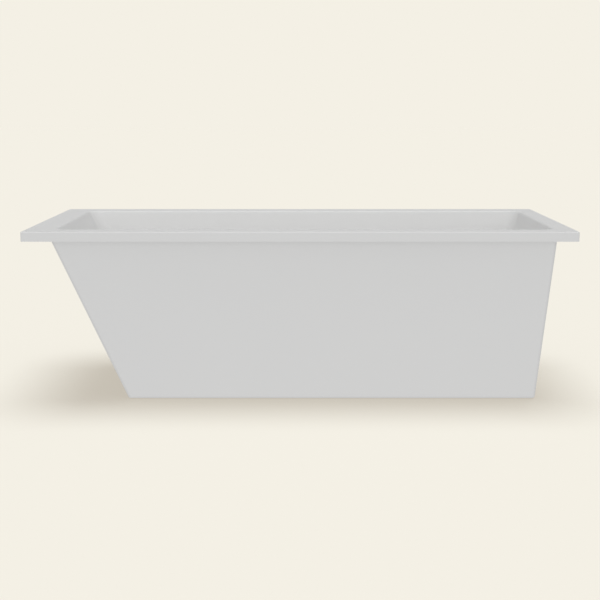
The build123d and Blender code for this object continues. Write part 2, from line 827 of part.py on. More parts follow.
with BuildPart() as plug_stem:
    with BuildSketch(at_waste(collar_bottom - stem_tip)):
        Circle(stem_radius)
    extrude(amount=cap_under - collar_bottom + stem_tip)
    with BuildSketch(at_waste(collar_bottom)):
        Circle(collar_radius)
    extrude(amount=collar_height)
plug_stem.part.label = "plug_stem"
export_step(plug_stem.part, "parts/plug_stem.step")

with BuildPart() as plug_cartridge:
    with BuildSketch(at_waste(cartridge_bottom)):
        Circle(cartridge_radius)
    extrude(amount=hub_top - cartridge_bottom)
    with BuildSketch(at_waste(hub_top)):
        Circle(cartridge_head_radius)
    extrude(amount=cartridge_head_height)
    with BuildSketch(at_waste(chamber_bottom)):
        Circle(chamber_radius)
    extrude(amount=chamber_length, mode=Mode.SUBTRACT)
    with BuildSketch(at_waste(chamber_top)):
        Circle(stem_radius + stem_clearance)
    extrude(amount=cartridge_lip, mode=Mode.SUBTRACT)
plug_cartridge.part.label = "plug_cartridge"
export_step(plug_cartridge.part, "parts/plug_cartridge.step")

spring_height = collar_bottom - chamber_bottom - spring_wire
with BuildPart() as plug_spring:
    with BuildLine():
        coil = Helix(
            pitch=spring_height / spring_turns,
            height=spring_height,
            radius=spring_radius,
            center=(waste_x, 0, chamber_bottom + spring_wire / 2),
        )
    with BuildSketch(Plane(origin=coil @ 0, z_dir=coil % 0)):
        Circle(spring_wire / 2)
    sweep(is_frenet=True)
plug_spring.part.label = "plug_spring"
export_step(plug_spring.part, "parts/plug_spring.step")

# ---------------------------------------- overflow: cover and ring in the bath
rib_start = 45.0  # degrees
rib_inner = overflow_ring_radius + overflow_rib_clearance
rib_outer = overflow_cover_radius - overflow_cover_wall / 2
slot_start = -90.0 - overflow_slot_pitch * (overflow_slots - 1) / 2
duct_face = dry + overflow_gasket_thickness  # duct's front, behind the wet face
cover_front = overflow_cover_gap + overflow_cover_depth

with BuildPart() as overflow_ring:
    with BuildSketch(overflow_plane):
        Circle(overflow_ring_radius)
    extrude(amount=overflow_ring_thickness)
    with BuildSketch(overflow_plane):
        Circle(overflow_tube_radius)
    extrude(amount=-duct_face - duct_wall)
    with BuildSketch(overflow_plane.offset(overflow_ring_thickness)):
        Circle(overflow_tube_radius - overflow_tube_wall)
    extrude(amount=-overflow_ring_thickness - duct_face - duct_wall, mode=Mode.SUBTRACT)
    with BuildSketch(overflow_plane):
        Rectangle(2 * overflow_tube_radius - overflow_tube_wall, overflow_bar)
        Rectangle(overflow_bar, 2 * overflow_tube_radius - overflow_tube_wall)
    extrude(amount=overflow_ring_thickness)
overflow_ring.part.label = "overflow_ring"
export_step(overflow_ring.part, "parts/overflow_ring.step")

with BuildPart() as overflow_cover:
    with BuildSketch(overflow_plane.offset(overflow_cover_gap)):
        Circle(overflow_cover_radius)
    extrude(amount=overflow_cover_depth)
    outer_face = overflow_cover.faces().sort_by(Axis(overflow_plane.origin, overflow_plane.z_dir))[-1]
    fillet(outer_face.edges(), overflow_cover_edge)
    with BuildSketch(overflow_plane.offset(overflow_cover_gap)):
        Circle(overflow_cover_radius - overflow_cover_wall)
    extrude(amount=overflow_cover_depth - overflow_cover_wall, mode=Mode.SUBTRACT)
    for inner, start in (
        (rib_inner, overflow_cover_gap),
        (rib_inner - overflow_rib_hook, overflow_ring_thickness),
    ):
        with BuildSketch(overflow_plane.offset(start)):
            with PolarLocations((inner + rib_outer) / 2, 4, start_angle=rib_start):
                Rectangle(rib_outer - inner, overflow_rib_width)
        extrude(amount=cover_front - overflow_cover_wall - start)
    with BuildSketch(overflow_plane.offset((cover_front - overflow_slot_height) / 2)):
        for n in range(overflow_slots):
            slot_angle = slot_start + n * overflow_slot_pitch
            with PolarLocations(overflow_cover_radius, 1, start_angle=slot_angle):
                Rectangle(4 * overflow_cover_wall, overflow_slot_width)
    extrude(amount=overflow_slot_height, mode=Mode.SUBTRACT)
overflow_cover.part.label = "overflow_cover"
export_step(overflow_cover.part, "parts/overflow_cover.step")

with BuildPart() as overflow_gasket:
    with BuildSketch(overflow_plane.offset(-dry)):
        Circle(overflow_gasket_radius)
        Circle(overflow_tube_radius + slip_clearance, mode=Mode.SUBTRACT)
    extrude(amount=-overflow_gasket_thickness)
overflow_gasket.part.label = "overflow_gasket"
export_step(overflow_gasket.part, "parts/overflow_gasket.step")

# ---------------------------------------- overflow: duct and pipe behind the basin
duct_back = acrylic + duct_skirt_clearance  # duct's back, inside the skirt's outer face
duct_top = overflow_z + duct_rise


def duct_block(wall):
    """The duct's outside, or its inside when wall is its thickness."""
    low, high = duct_bottom + wall, duct_top - wall
    with BuildPart() as block:
        with BuildSketch(Plane.XZ):
            with BuildLine():
                Polyline(
                    (basin_foot_x(low, duct_face + wall), low),
                    (skirt_foot_x(low, -duct_back - wall), low),
                    (skirt_foot_x(high, -duct_back - wall), high),
                    (basin_foot_x(high, duct_face + wall), high),
                    close=True,
                )
            make_face()
        extrude(amount=duct_half_width - wall, both=True)
    return block.part


def pipe_x(z):
    """The overflow pipe's axis at the level z, parallel to the skirt."""
    return skirt_foot_x(z, -acrylic - pipe_skirt_distance)


duct_outer = duct_block(0)
duct_inner = duct_block(duct_wall)
pipe_down = Plane(
    origin=(pipe_x(duct_bottom), 0, duct_bottom),
    x_dir=(0, 1, 0),
    z_dir=(-sin(skirt_draft), 0, -cos(skirt_draft)),
)
pipe_bore_radius = pipe_radius - pipe_wall

with BuildPart() as overflow_duct:
    add(duct_outer)
    with BuildSketch(pipe_down.offset(-duct_wall)):
        Circle(pipe_radius + slip_clearance + spigot_wall)
    extrude(amount=duct_wall + spigot_length)
    add(duct_inner, mode=Mode.SUBTRACT)
    with BuildSketch(pipe_down.offset(spigot_length)):
        Circle(pipe_radius + slip_clearance)
    extrude(amount=-spigot_grip, mode=Mode.SUBTRACT)
    with BuildSketch(pipe_down.offset(spigot_length)):
        Circle(pipe_bore_radius)
    extrude(amount=-spigot_length - 2 * duct_wall, mode=Mode.SUBTRACT)
    with BuildSketch(overflow_plane.offset(-duct_face)):
        Circle(overflow_tube_radius + thread_clearance)
    extrude(amount=-duct_wall, mode=Mode.SUBTRACT)
overflow_duct.part.label = "overflow_duct"
export_step(overflow_duct.part, "parts/overflow_duct.step")

pipe_start = pipe_down.offset(spigot_length - spigot_grip).origin
with BuildPart() as overflow_pipe:
    with BuildLine(Plane.XZ):
        route = FilletPolyline(
            (pipe_start.X, pipe_start.Z),
            (pipe_x(inlet_z), inlet_z),
            (inlet_end - inlet_grip, inlet_z),
            radius=pipe_bend,
        )
    with BuildSketch(Plane(origin=route @ 0, z_dir=route % 0)):
        Circle(pipe_radius)
        Circle(pipe_bore_radius, mode=Mode.SUBTRACT)
    sweep()
overflow_pipe.part.label = "overflow_pipe"
export_step(overflow_pipe.part, "parts/overflow_pipe.step")
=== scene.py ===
# %% [markdown]
# # A freestanding bath, finished in Blender
#
# The engineering model of the bath arrives as a fixed frame: every part already has its size and its place.
# This lesson gives it its looks. It sets up a camera and a bright studio, writes one procedural finish for
# each material, and replaces a few plain parts, such as the bare studs of the feet, with surfaces worked
# out by numpy. Nothing is moved to fit: each new piece takes its place from the box of the part that it
# stands for.

# %% Load the frame
import json
from math import cos, pi, radians

import bpy
import numpy as np
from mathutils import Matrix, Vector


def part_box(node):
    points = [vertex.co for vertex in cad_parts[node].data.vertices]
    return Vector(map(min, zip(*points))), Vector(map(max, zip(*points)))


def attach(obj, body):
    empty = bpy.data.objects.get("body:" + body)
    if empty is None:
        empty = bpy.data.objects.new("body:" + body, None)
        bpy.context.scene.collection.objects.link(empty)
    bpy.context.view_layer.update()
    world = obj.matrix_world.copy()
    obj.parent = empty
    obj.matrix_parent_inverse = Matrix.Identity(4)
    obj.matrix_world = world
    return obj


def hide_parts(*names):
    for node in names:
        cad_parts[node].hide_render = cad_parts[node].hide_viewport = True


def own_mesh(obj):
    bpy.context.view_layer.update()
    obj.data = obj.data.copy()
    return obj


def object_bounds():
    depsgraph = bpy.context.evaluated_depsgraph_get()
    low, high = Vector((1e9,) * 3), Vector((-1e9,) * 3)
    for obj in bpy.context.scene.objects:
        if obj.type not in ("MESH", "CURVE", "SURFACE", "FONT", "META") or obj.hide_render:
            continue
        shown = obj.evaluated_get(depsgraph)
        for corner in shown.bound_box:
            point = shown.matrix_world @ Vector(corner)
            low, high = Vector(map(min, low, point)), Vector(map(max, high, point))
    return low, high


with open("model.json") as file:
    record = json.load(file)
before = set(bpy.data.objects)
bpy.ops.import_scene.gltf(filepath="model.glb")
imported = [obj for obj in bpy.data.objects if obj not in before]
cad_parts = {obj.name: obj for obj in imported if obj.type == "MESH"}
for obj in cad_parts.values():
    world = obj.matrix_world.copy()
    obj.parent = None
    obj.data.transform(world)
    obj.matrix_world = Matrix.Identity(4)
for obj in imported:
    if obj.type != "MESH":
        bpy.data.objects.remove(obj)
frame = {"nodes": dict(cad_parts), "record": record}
cad_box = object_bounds()
nodes = frame["nodes"]
print("parts in the frame:", len(nodes), "box:", cad_box)

# %% [markdown]
# ## Where a part is
#
# Two questions come up for nearly every new piece: where its upright axis stands, and between which levels
# it lies. Both answers come from the box of the part that the piece stands for, so no place is typed in
# twice.


# %% The place of a part
def middle(node):
    """The middle of a node's box, seen from above."""
    low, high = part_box(node)
    return (float(low[0] + high[0]) / 2, float(low[1] + high[1]) / 2)


def span(node):
    """The lowest and highest level of a node."""
    low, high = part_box(node)
    return float(low[2]), float(high[2])


waste_axis = middle("plug_cap")
print("the waste's axis:", waste_axis, "the basin's levels:", span("basin_shell"))

# %% [markdown]
# ## The camera
#
# Product pictures of baths are taken from the front with a long lens, a little above the rim, so that the
# far edge just shows over the near one. The camera stands straight in front of the bath's middle and tilts
# down a little. Its distance decides how much smaller the far rim looks than the near rim, and its focal
# length then sets the size.

# %% Camera
rim_front_y = cad_box[0][1]
rim_top_z = cad_box[1][2]
camera_distance = 3.3926
camera_above_rim = 0.3842
camera_tilt = radians(9.93)
sensor_width_mm = 36.0
lens_mm = 67.38

camera_data = bpy.data.cameras.new("camera")
camera_data.sensor_width = sensor_width_mm
camera_data.lens = lens_mm
camera = bpy.data.objects.new("camera", camera_data)
camera.location = (0.0, rim_front_y - camera_distance, rim_top_z + camera_above_rim)
camera.rotation_euler = (pi / 2 - camera_tilt, 0.0, 0.0)
bpy.context.scene.collection.objects.link(camera)
bpy.context.scene.camera = camera
bpy.context.scene.view_settings.view_transform = "Standard"
print("camera at", tuple(round(v, 3) for v in camera.location))

# %% [markdown]
# ## Shader maths in Python
#
# A procedural finish is a small sum: a noise, times an amount, plus a base. Blender writes such sums as a
# web of Math nodes. They could be wired by hand, but the sum is then hard to read. The class Value wraps
# one socket and lets Python's own operators add those nodes, also with the number first, as in 1 - mask.


# %% Value
class Value:
    """A number or colour that varies over a surface. +, -, * and ** each add one Math node."""

    def __init__(self, finish, socket):
        self.finish = finish
        self.socket = socket

    def _math(self, operation, first, second):
        return self.finish.node("ShaderNodeMath", {"operation": operation}, {0: first, 1: second})

    def __add__(self, other):
        return self._math("ADD", self, other)

    def __sub__(self, other):
        return self._math("SUBTRACT", self, other)

    def __rsub__(self, other):
        return self._math("SUBTRACT", other, self)

    def __mul__(self, other):
        return self._math("MULTIPLY", self, other)

    def __pow__(self, other):
        return self._math("POWER", self, other)

    __radd__ = __add__
    __rmul__ = __mul__


print("a Value writes its own Math nodes for +, -, * and **")

# %% [markdown]
# ## One class for every material
#
# A finish is a material while it is being written. Every node that isn't a sum comes from its one method,
# node, and the patterns that several finishes share, such as a noise, a smooth band or a bump, are short
# methods on top of it. All of them read Object coordinates, in metres, so a pattern has its real size on
# every part.


# %% Finish
class Finish:
    """One material while it is being written, with its Principled shader."""

    def __init__(self, name):
        self.material = bpy.data.materials.new(name)
        self.material.use_nodes = True
        self.tree = self.material.node_tree
        self.shader = self.tree.nodes["Principled BSDF"]
        self.place = self.node("ShaderNodeTexCoord", output="Object")

    def node(self, kind, settings=None, sockets=None, output=0):
        """Add a node: its settings first, then its sockets by name or number, and give back one output."""
        made = self.tree.nodes.new(kind)
        for name, value in (settings or {}).items():
            setattr(made, name, value)
        for key, value in (sockets or {}).items():
            self._plug(made.inputs[key], value)
        return Value(self, made.outputs[output])

    def _plug(self, socket, value):
        """Link a Value, or set a plain number or colour."""
        if isinstance(value, Value):
            self.tree.links.new(value.socket, socket)
        elif isinstance(value, tuple) and socket.type == "RGBA":
            socket.default_value = (*value, 1.0)
        else:
            socket.default_value = value

    def surface(self, **sockets):
        """Set or link the shader's sockets. An underscore in a name stands for a space."""
        for name, value in sockets.items():
            self._plug(self.shader.inputs[name.replace("_", " ")], value)
        return self.material

    def noise(self, scale, detail=2.0, roughness=0.5, at=None):
        """Smooth noise from 0 to 1, with so many bumps to a metre."""
        return self.node("ShaderNodeTexNoise", {}, {
            "Vector": at or self.place, "Scale": scale, "Detail": detail, "Roughness": roughness})

    def stretched(self, x=1.0, y=1.0, z=1.0):
        """Object coordinates multiplied along each axis, for grain and brushing."""
        return self.node("ShaderNodeMapping", {"vector_type": "TEXTURE"}, {
            "Vector": self.place, "Scale": (1 / x, 1 / y, 1 / z)})

    def mix(self, low, high, amount):
        """The colour low where amount is 0 and high where it is 1."""
        return self.node("ShaderNodeMix", {"data_type": "RGBA"}, {0: amount, 6: low, 7: high}, output=2)

    def highest(self, first, second):
        """The greater of two values at each point."""
        return self.node("ShaderNodeMath", {"operation": "MAXIMUM"}, {0: first, 1: second})

    def axes(self):
        """Object X, Y and Z as three values."""
        return [self.node("ShaderNodeSeparateXYZ", {}, {0: self.place}, output=n) for n in range(3)]

    def band(self, value, low, high):
        """0 below low, 1 above high and smooth between."""
        return self.node("ShaderNodeMapRange", {"interpolation_type": "SMOOTHSTEP"}, {
            "Value": value, "From Min": low, "From Max": high})

    def bump(self, height, distance, strength=1.0):
        """A bent normal from a height that varies by distance metres."""
        return self.node("ShaderNodeBump", {}, {
            "Height": height, "Distance": distance, "Strength": strength}, output="Normal")


print("a Finish offers:", ", ".join(name for name in vars(Finish) if not name.startswith("_")))

# %% [markdown]
# ## A bright studio
#
# White sanitary ware is shown in a room of soft, even light, where the only shadow is the faint one that
# the bath lays on the floor around its foot. A sky of one colour gives most of that light. Where the camera
# looks straight at it, it shows the backdrop's warmer colour, so the backdrop needs no wall and throws no
# warm light on the white.

# %% Sky
backdrop_colour = (0.9047, 0.8714, 0.7835)
sky_colour = (0.55, 0.55, 0.55)


def build_sky():
    """A sky of one even colour that lights the bath, and the backdrop's colour where the camera sees it."""
    world = bpy.data.worlds.new("sky")
    bpy.context.scene.world = world
    world.use_nodes = True
    tree = world.node_tree
    tree.nodes.clear()
    light = tree.nodes.new("ShaderNodeBackground")
    light.inputs["Color"].default_value = (*sky_colour, 1.0)
    seen = tree.nodes.new("ShaderNodeBackground")
    seen.inputs["Color"].default_value = (*backdrop_colour, 1.0)
    path = tree.nodes.new("ShaderNodeLightPath")
    either = tree.nodes.new("ShaderNodeMixShader")
    out = tree.nodes.new("ShaderNodeOutputWorld")
    tree.links.new(path.outputs["Is Camera Ray"], either.inputs["Fac"])
    tree.links.new(light.outputs[0], either.inputs[1])
    tree.links.new(seen.outputs[0], either.inputs[2])
    tree.links.new(either.outputs[0], out.inputs["Surface"])


build_sky()
print("sky:", sky_colour, "backdrop:", backdrop_colour)

# %% [markdown]
# ## A floor with no horizon
#
# The floor glows slightly, as a sheet of lit paper does, and its paint is worked out from the lights that
# reach it, so that bare floor and backdrop come out the same colour and no horizon shows. Only the camera
# sees the floor: it throws no warm light up at the white acrylic, and from beneath it is clear, for a look
# at the frame and the feet.

# %% Floor
floor_reach = 40.0
floor_glow = (0.41, 0.37, 0.33)
overhead_light = 0.14
floor_light = 0.62
floor_light_tilt = radians(-8)


def lit_paper():
    """Paper whose paint is (1 - glow) * backdrop / light that reaches it, and that is clear from beneath."""
    suns = overhead_light + floor_light * cos(floor_light_tilt)
    paint = tuple(
        (1.0 - glow) * colour / (sky + suns)
        for colour, glow, sky in zip(backdrop_colour, floor_glow, sky_colour))
    paper = Finish("floor_paper")
    paper.surface(
        Base_Color=paint, Roughness=1.0, Specular_IOR_Level=0.0,
        Emission_Color=tuple(colour * glow for colour, glow in zip(backdrop_colour, floor_glow)),
        Emission_Strength=1.0)
    behind = paper.node("ShaderNodeNewGeometry", output="Backfacing")
    clear = paper.node("ShaderNodeBsdfTransparent")
    opaque = Value(paper, paper.shader.outputs[0])
    shown = paper.node("ShaderNodeMixShader", {}, {0: behind, 1: opaque, 2: clear})
    paper.tree.links.new(shown.socket, paper.tree.nodes["Material Output"].inputs["Surface"])
    return paper.material


def build_floor():
    """One level square far larger than the view, seen by the camera alone."""
    corners = np.array([[-1, -1, 0], [1, -1, 0], [1, 1, 0], [-1, 1, 0]], dtype=float) * floor_reach
    mesh = bpy.data.meshes.new("floor")
    mesh.from_pydata(corners.tolist(), [], [(0, 1, 2, 3)])
    mesh.materials.append(lit_paper())
    floor = bpy.data.objects.new("floor", mesh)
    bpy.context.scene.collection.objects.link(floor)
    floor.visible_diffuse = False
    floor.visible_glossy = False
    floor.visible_transmission = False
    floor.visible_shadow = False
    return floor


floor = build_floor()
print("floor from", -floor_reach, "to", floor_reach, "m")

# %% [markdown]
# ## Four wide suns
#
# A weak wide sun overhead lifts every level face. The other three are aimed, as lamps are aimed past flags,
# and light linking keeps each on one thing: one reaches over the rim to the basin, one comes up from low in
# front to the skirt, where it opens the shade under the rim, and one shines on the floor alone from a
# little behind the bath, so that the rim's shadow falls forward. The wider a sun's disc, the softer the
# edge of the shadow it throws.

# %% Suns
basin_light = 0.25
skirt_light = 0.20


def build_sun(name, light, disc, tilt, only=None):
    """A sun that lays this much light on a face turned to it, from so wide a disc, on one object or all."""
    data = bpy.data.lights.new(name, "SUN")
    data.energy = light * pi
    data.angle = disc
    sun = bpy.data.objects.new(name, data)
    sun.rotation_euler = (tilt, 0.0, 0.0)
    bpy.context.scene.collection.objects.link(sun)
    if only is not None:
        lit = bpy.data.collections.new(name + "_reaches")
        lit.objects.link(only)
        sun.light_linking.receiver_collection = lit
    print(name, "lays", light, "from a disc of", round(disc * 180 / pi), "degrees")


build_sun("overhead_sun", overhead_light, disc=radians(50), tilt=0.0)
build_sun("basin_sun", basin_light, disc=radians(60), tilt=radians(60), only=nodes["basin_shell"])
build_sun("skirt_sun", skirt_light, disc=radians(60), tilt=radians(96), only=nodes["skirt_shell"])
build_sun("floor_sun", floor_light, disc=radians(38), tilt=floor_light_tilt, only=floor)

# %% [markdown]
# ## White acrylic
#
# The basin and the skirt are vacuum-formed from cast acrylic sheet. The sheet is dyed right through, so its
# colour is even, and its face is smooth with a satin shine. Three faint things keep it from looking
# computed: the sheet stretches unevenly over the mould, which bends reflections in long, shallow waves, it
# keeps a fine peel from its own surface, and wiping leaves it a little glossier here than there.


# %% White acrylic
def white_acrylic():
    """Even white, with roughness that drifts a little, shallow waves and fine peel."""
    finish = Finish("white_acrylic")
    drift = finish.noise(3.0, detail=3.0)
    waves = finish.noise(9.0, detail=1.0)
    peel = finish.noise(420.0, detail=2.0)
    wiped = finish.noise(14.0, detail=4.0, at=finish.stretched(x=0.4))
    tint = finish.mix((0.79, 0.79, 0.784), (0.805, 0.805, 0.798), drift)
    return finish.surface(
        Base_Color=tint, Roughness=drift * 0.06 + wiped * 0.06 + 0.30,
        Normal=finish.bump(waves + peel * 0.06, 0.0004), Specular_IOR_Level=0.5)


finish_for = {"white_acrylic": white_acrylic()}
print("finishes so far:", ", ".join(finish_for))

# %% [markdown]
# ## Chopped strand in resin
#
# Behind the acrylic the basin is stiffened with glass fibre, sprayed on as short strands in polyester resin
# and rolled flat by hand. Up close it is a straw-coloured, half-clear coat full of pale strands that lie
# every way. A strand is noise squeezed to fifty millimetres by two. Three such layers, each turned another
# way, are laid over each other by taking the highest, and the resin pools between them are smoother than
# the strands.


# %% Glass fibre and resin
def strands(finish, turn):
    """1 along strands about 50 mm long and 2 mm wide that lie along the turned X axis, 0 between them."""
    laid = finish.node("ShaderNodeMapping", {"vector_type": "TEXTURE"}, {
        "Vector": finish.place, "Rotation": turn, "Scale": (0.05, 0.002, 0.002)})
    return finish.band(finish.noise(1.0, detail=1.0, at=laid), 0.52, 0.66)


def glass_fibre():
    """Straw resin under the highest of three layers of pale strands, with clear pools and rolled lumps."""
    finish = Finish("glass_fibre")
    layers = [strands(finish, turn) for turn in ((0.2, 0.1, 0.4), (0.9, 1.2, 1.7), (1.5, 0.3, 2.9))]
    matted = finish.highest(finish.highest(layers[0], layers[1]), layers[2])
    pools = finish.noise(28.0, detail=4.0, roughness=0.6)
    resin = finish.mix((0.52, 0.47, 0.30), (0.66, 0.62, 0.46), pools)
    colour = finish.mix(resin, (0.78, 0.77, 0.68), matted * 0.75)
    lumps = finish.noise(55.0, detail=3.0)
    return finish.surface(
        Base_Color=colour, Roughness=matted * 0.25 + pools * 0.2 + 0.2,
        Normal=finish.bump(lumps * 0.6 + matted * 0.4, 0.0016, 0.8))


def resin_bed():
    """The same resin laid on thick, with brush drags along X, pinholes darkened by painted shade, and darker
    deep places.
    """
    finish = Finish("resin_bed")
    deep = finish.noise(12.0, detail=3.0)
    drags = finish.noise(60.0, detail=2.0, at=finish.stretched(x=0.12))
    holes = finish.node("ShaderNodeTexVoronoi", {"feature": "F1"}, {"Vector": finish.place, "Scale": 160.0})
    pinholes_and_painted_shade = finish.band(holes, 0.10, 0.22)
    colour = finish.mix((0.50, 0.45, 0.29), (0.70, 0.66, 0.50), deep * 0.6 + drags * 0.4)
    # the pinholes are dented by the bump and also painted dark: painted shade in their hollows
    return finish.surface(
        Base_Color=finish.mix((0.36, 0.31, 0.18), colour, pinholes_and_painted_shade), Roughness=drags * 0.3 + 0.22,
        Normal=finish.bump(drags * 0.6 + pinholes_and_painted_shade * 0.4, 0.0012, 0.8))


finish_for["glass_fibre"] = glass_fibre()
finish_for["resin_bed"] = resin_bed()
print("finishes so far:", ", ".join(finish_for))

# %% [markdown]
# ## Softwood battens
#
# The battens under the rim are sawn softwood. Growth rings are rings about the tree's heart, which lies
# beside the batten and almost along it, so a saw cut shows them as long, slightly wavy lines. Each batten's
# finish is therefore told which way it runs.

# %% Softwood
saw_marks_per_metre = 1500.0


def growth_rings(finish, across, up, per_metre, wander):
    """0 to 1 across each year's ring: the distance to the tree's heart, which wanders by so many metres."""
    bend = finish.noise(3.0, detail=4.0) * wander
    distance = (across * across + up * up) ** 0.5 + bend
    return finish.node("ShaderNodeMath", {"operation": "FRACT"}, {0: distance * per_metre})


def softwood(name, runs_along):
    """Pale spring wood rising to a darker line each year, fibres along the batten, saw marks across it."""
    finish = Finish(name)
    x, y, z = finish.axes()
    across = y if runs_along == "x" else x
    along = x if runs_along == "x" else y
    rings = growth_rings(finish, across * 0.5 + along * 0.01 + 0.13, z - 0.47, 210.0, 0.012)
    late = finish.band(rings, 0.45, 1.0)
    squeezed = finish.stretched(x=0.03) if runs_along == "x" else finish.stretched(y=0.03)
    fibres = finish.noise(900.0, detail=3.0, at=squeezed)
    patches = finish.noise(4.0, detail=2.0)
    sawn = along * saw_marks_per_metre + patches * 9.0
    marks = finish.node("ShaderNodeMath", {"operation": "SINE"}, {0: sawn})
    pale = finish.mix((0.66, 0.49, 0.30), (0.74, 0.58, 0.38), patches)
    colour = finish.mix(pale, (0.46, 0.28, 0.13), late * 0.7)
    return finish.surface(
        Base_Color=finish.mix(colour, (0.52, 0.37, 0.22), fibres * 0.35), Roughness=fibres * 0.2 + 0.62,
        Specular_IOR_Level=0.25, Normal=finish.bump(fibres * 0.5 + late * 0.2 + marks * 0.06, 0.0006))


timber_along = {"x": softwood("timber_along_x", "x"), "y": softwood("timber_along_y", "y")}
print("softwood finishes:", ", ".join(material.name for material in timber_along.values()))

# %% [markdown]
# ## The plywood board
#
# The base board is plywood. Its faces show the grain of one peeled veneer, whose rings come out as broad
# waves. Its edges show the plies, which are even steps of height that turn dark and light as the grain of
# each ply runs across or along, with a dark line of glue between. One material can hold both, because the
# direction of the surface tells a face from an edge.

# %% Plywood
plies = 9


def plywood():
    """Face grain above and below; on the edges the plies, dark where the grain is cut across."""
    finish = Finish("plywood")
    bottom, top = span("base_board")
    x, y, z = finish.axes()
    ply = (z - bottom) * (plies / (top - bottom))
    half_turn = finish.node("ShaderNodeMath", {"operation": "PINGPONG"}, {0: ply, 1: 1.0})
    crossed = finish.band(half_turn, 0.42, 0.58)
    glue = finish.band(half_turn, 0.40, 0.48) - finish.band(half_turn, 0.52, 0.60)
    level = finish.node("ShaderNodeNewGeometry", output="Normal")
    upright = finish.node("ShaderNodeSeparateXYZ", {}, {0: level}, output=2)
    face = finish.band(upright * upright, 0.6, 0.8)
    figure = growth_rings(finish, y * 0.7 + x * 0.03 + 0.2, x * 0.02 + 0.01, 85.0, 0.10)
    fibres = finish.noise(700.0, detail=3.0, at=finish.stretched(x=0.04))
    grain = finish.band(figure, 0.35, 1.0) * 0.55 + fibres * 0.35
    veneer = finish.mix((0.72, 0.55, 0.36), (0.55, 0.37, 0.20), grain)
    edge = finish.mix((0.70, 0.54, 0.36), (0.42, 0.28, 0.16), crossed * 0.7 + fibres * 0.2)
    edge = finish.mix(edge, (0.20, 0.12, 0.07), glue * 0.6)
    return finish.surface(
        Base_Color=finish.mix(edge, veneer, face), Roughness=fibres * 0.2 + 0.6, Specular_IOR_Level=0.25,
        Normal=finish.bump(fibres * 0.6 + crossed * (1 - face) * 0.4, 0.0005))


finish_for["plywood"] = plywood()
print("finishes so far:", ", ".join(finish_for))

# %% [markdown]
# ## Painted and plated metal
#
# The frame is square tube in black powder coat, which dries with a close orange peel and picks up dust.
# Screws, studs and nuts are zinc plated: a bluish silver with a faint straw tarnish in clouds. The visible
# waste and overflow trim is chrome, so smooth that only water spots and wipe marks change its gloss.


# %% Coat, zinc and chrome
def painted_tube():
    """Black powder coat with orange peel, grey dust in clouds and a few pale scuffs."""
    finish = Finish("painted_tube")
    peel = finish.noise(650.0, detail=2.0)
    dust = finish.noise(18.0, detail=5.0, roughness=0.65)
    scuffs = finish.band(finish.noise(40.0, detail=6.0, at=finish.stretched(y=0.2)), 0.66, 0.72)
    coat = finish.mix((0.018, 0.018, 0.020), (0.055, 0.053, 0.050), finish.band(dust, 0.45, 0.75))
    return finish.surface(
        Base_Color=finish.mix(coat, (0.16, 0.16, 0.16), scuffs * 0.5),
        Roughness=dust * 0.25 + peel * 0.1 + 0.28, Normal=finish.bump(peel, 0.00025, 0.6),
        Specular_IOR_Level=0.5)


def zinc_steel():
    """Bluish zinc with straw clouds, fine crystals and a dull bloom."""
    finish = Finish("zinc_steel")
    clouds = finish.noise(70.0, detail=3.0)
    crystals = finish.noise(2600.0, detail=2.0)
    colour = finish.mix((0.62, 0.65, 0.70), (0.70, 0.66, 0.54), finish.band(clouds, 0.45, 0.75) * 0.7)
    return finish.surface(
        Base_Color=finish.mix(colour, (0.50, 0.52, 0.54), crystals * 0.3), Metallic=1.0,
        Roughness=clouds * 0.2 + crystals * 0.12 + 0.20, Normal=finish.bump(crystals, 0.00004, 0.5))


def chrome():
    """Bright chrome with water spots and wipe marks in its gloss."""
    finish = Finish("chrome")
    spots = finish.node("ShaderNodeTexVoronoi", {"feature": "F1"}, {"Vector": finish.place, "Scale": 120.0})
    ring = finish.band(spots, 0.10, 0.16) - finish.band(spots, 0.18, 0.26)
    wiped = finish.noise(90.0, detail=4.0, at=finish.stretched(y=0.25))
    waves = finish.noise(45.0, detail=1.0)
    return finish.surface(
        Base_Color=finish.mix((0.80, 0.81, 0.83), (0.74, 0.75, 0.76), ring * 0.4), Metallic=1.0,
        Roughness=finish.band(wiped, 0.35, 0.8) * 0.08 + ring * 0.10 + 0.05,
        Normal=finish.bump(waves, 0.00015, 0.5))


finish_for["painted_tube"] = painted_tube()
finish_for["zinc_steel"] = zinc_steel()
finish_for["chrome"] = chrome()
print("finishes so far:", ", ".join(finish_for))

# %% [markdown]
# ## Turned metal
#
# The plug's stem and cartridge are brass turned on a lathe. The turning marks are rings of equal distance
# from their own axis, so the finish measures that distance from the waste's axis and takes its sine. The
# spring stands on the same axis, and its wire has fine drawing marks that follow its turns.

# %% Turned metal
turning_marks_per_metre = 18000.0


def turned_metal(name, bright, dull):
    """Metal turned about the waste's axis: rings of equal distance from it, and tarnish in clouds."""
    finish = Finish(name)
    x, y, z = finish.axes()
    across, along = x - waste_axis[0], y - waste_axis[1]
    distance = (across * across + along * along) ** 0.5
    turned = (distance + z) * turning_marks_per_metre
    rings = finish.node("ShaderNodeMath", {"operation": "SINE"}, {0: turned})
    tarnish = finish.band(finish.noise(120.0, detail=4.0), 0.4, 0.75)
    return finish.surface(
        Base_Color=finish.mix(bright, dull, tarnish * 0.7), Metallic=1.0,
        Roughness=tarnish * 0.22 + rings * 0.03 + 0.22, Normal=finish.bump(rings, 0.00002, 0.6))


finish_for["brass"] = turned_metal("brass", (0.74, 0.56, 0.27), (0.46, 0.33, 0.15))
finish_for["spring_steel"] = turned_metal("spring_steel", (0.60, 0.61, 0.63), (0.38, 0.37, 0.36))
print("finishes so far:", ", ".join(finish_for))

# %% [markdown]
# ## Rubber and moulded plastics
#
# The end caps are black nylon with the fine spark texture of their mould, and seals and pads are rubber,
# which greys as it blooms. The pipe, tee and duct are white plastic: extruded or moulded smooth, a little
# warm, and scuffed in storage. Their nuts and the locknut are grey, with the faint flow lines of the melt.


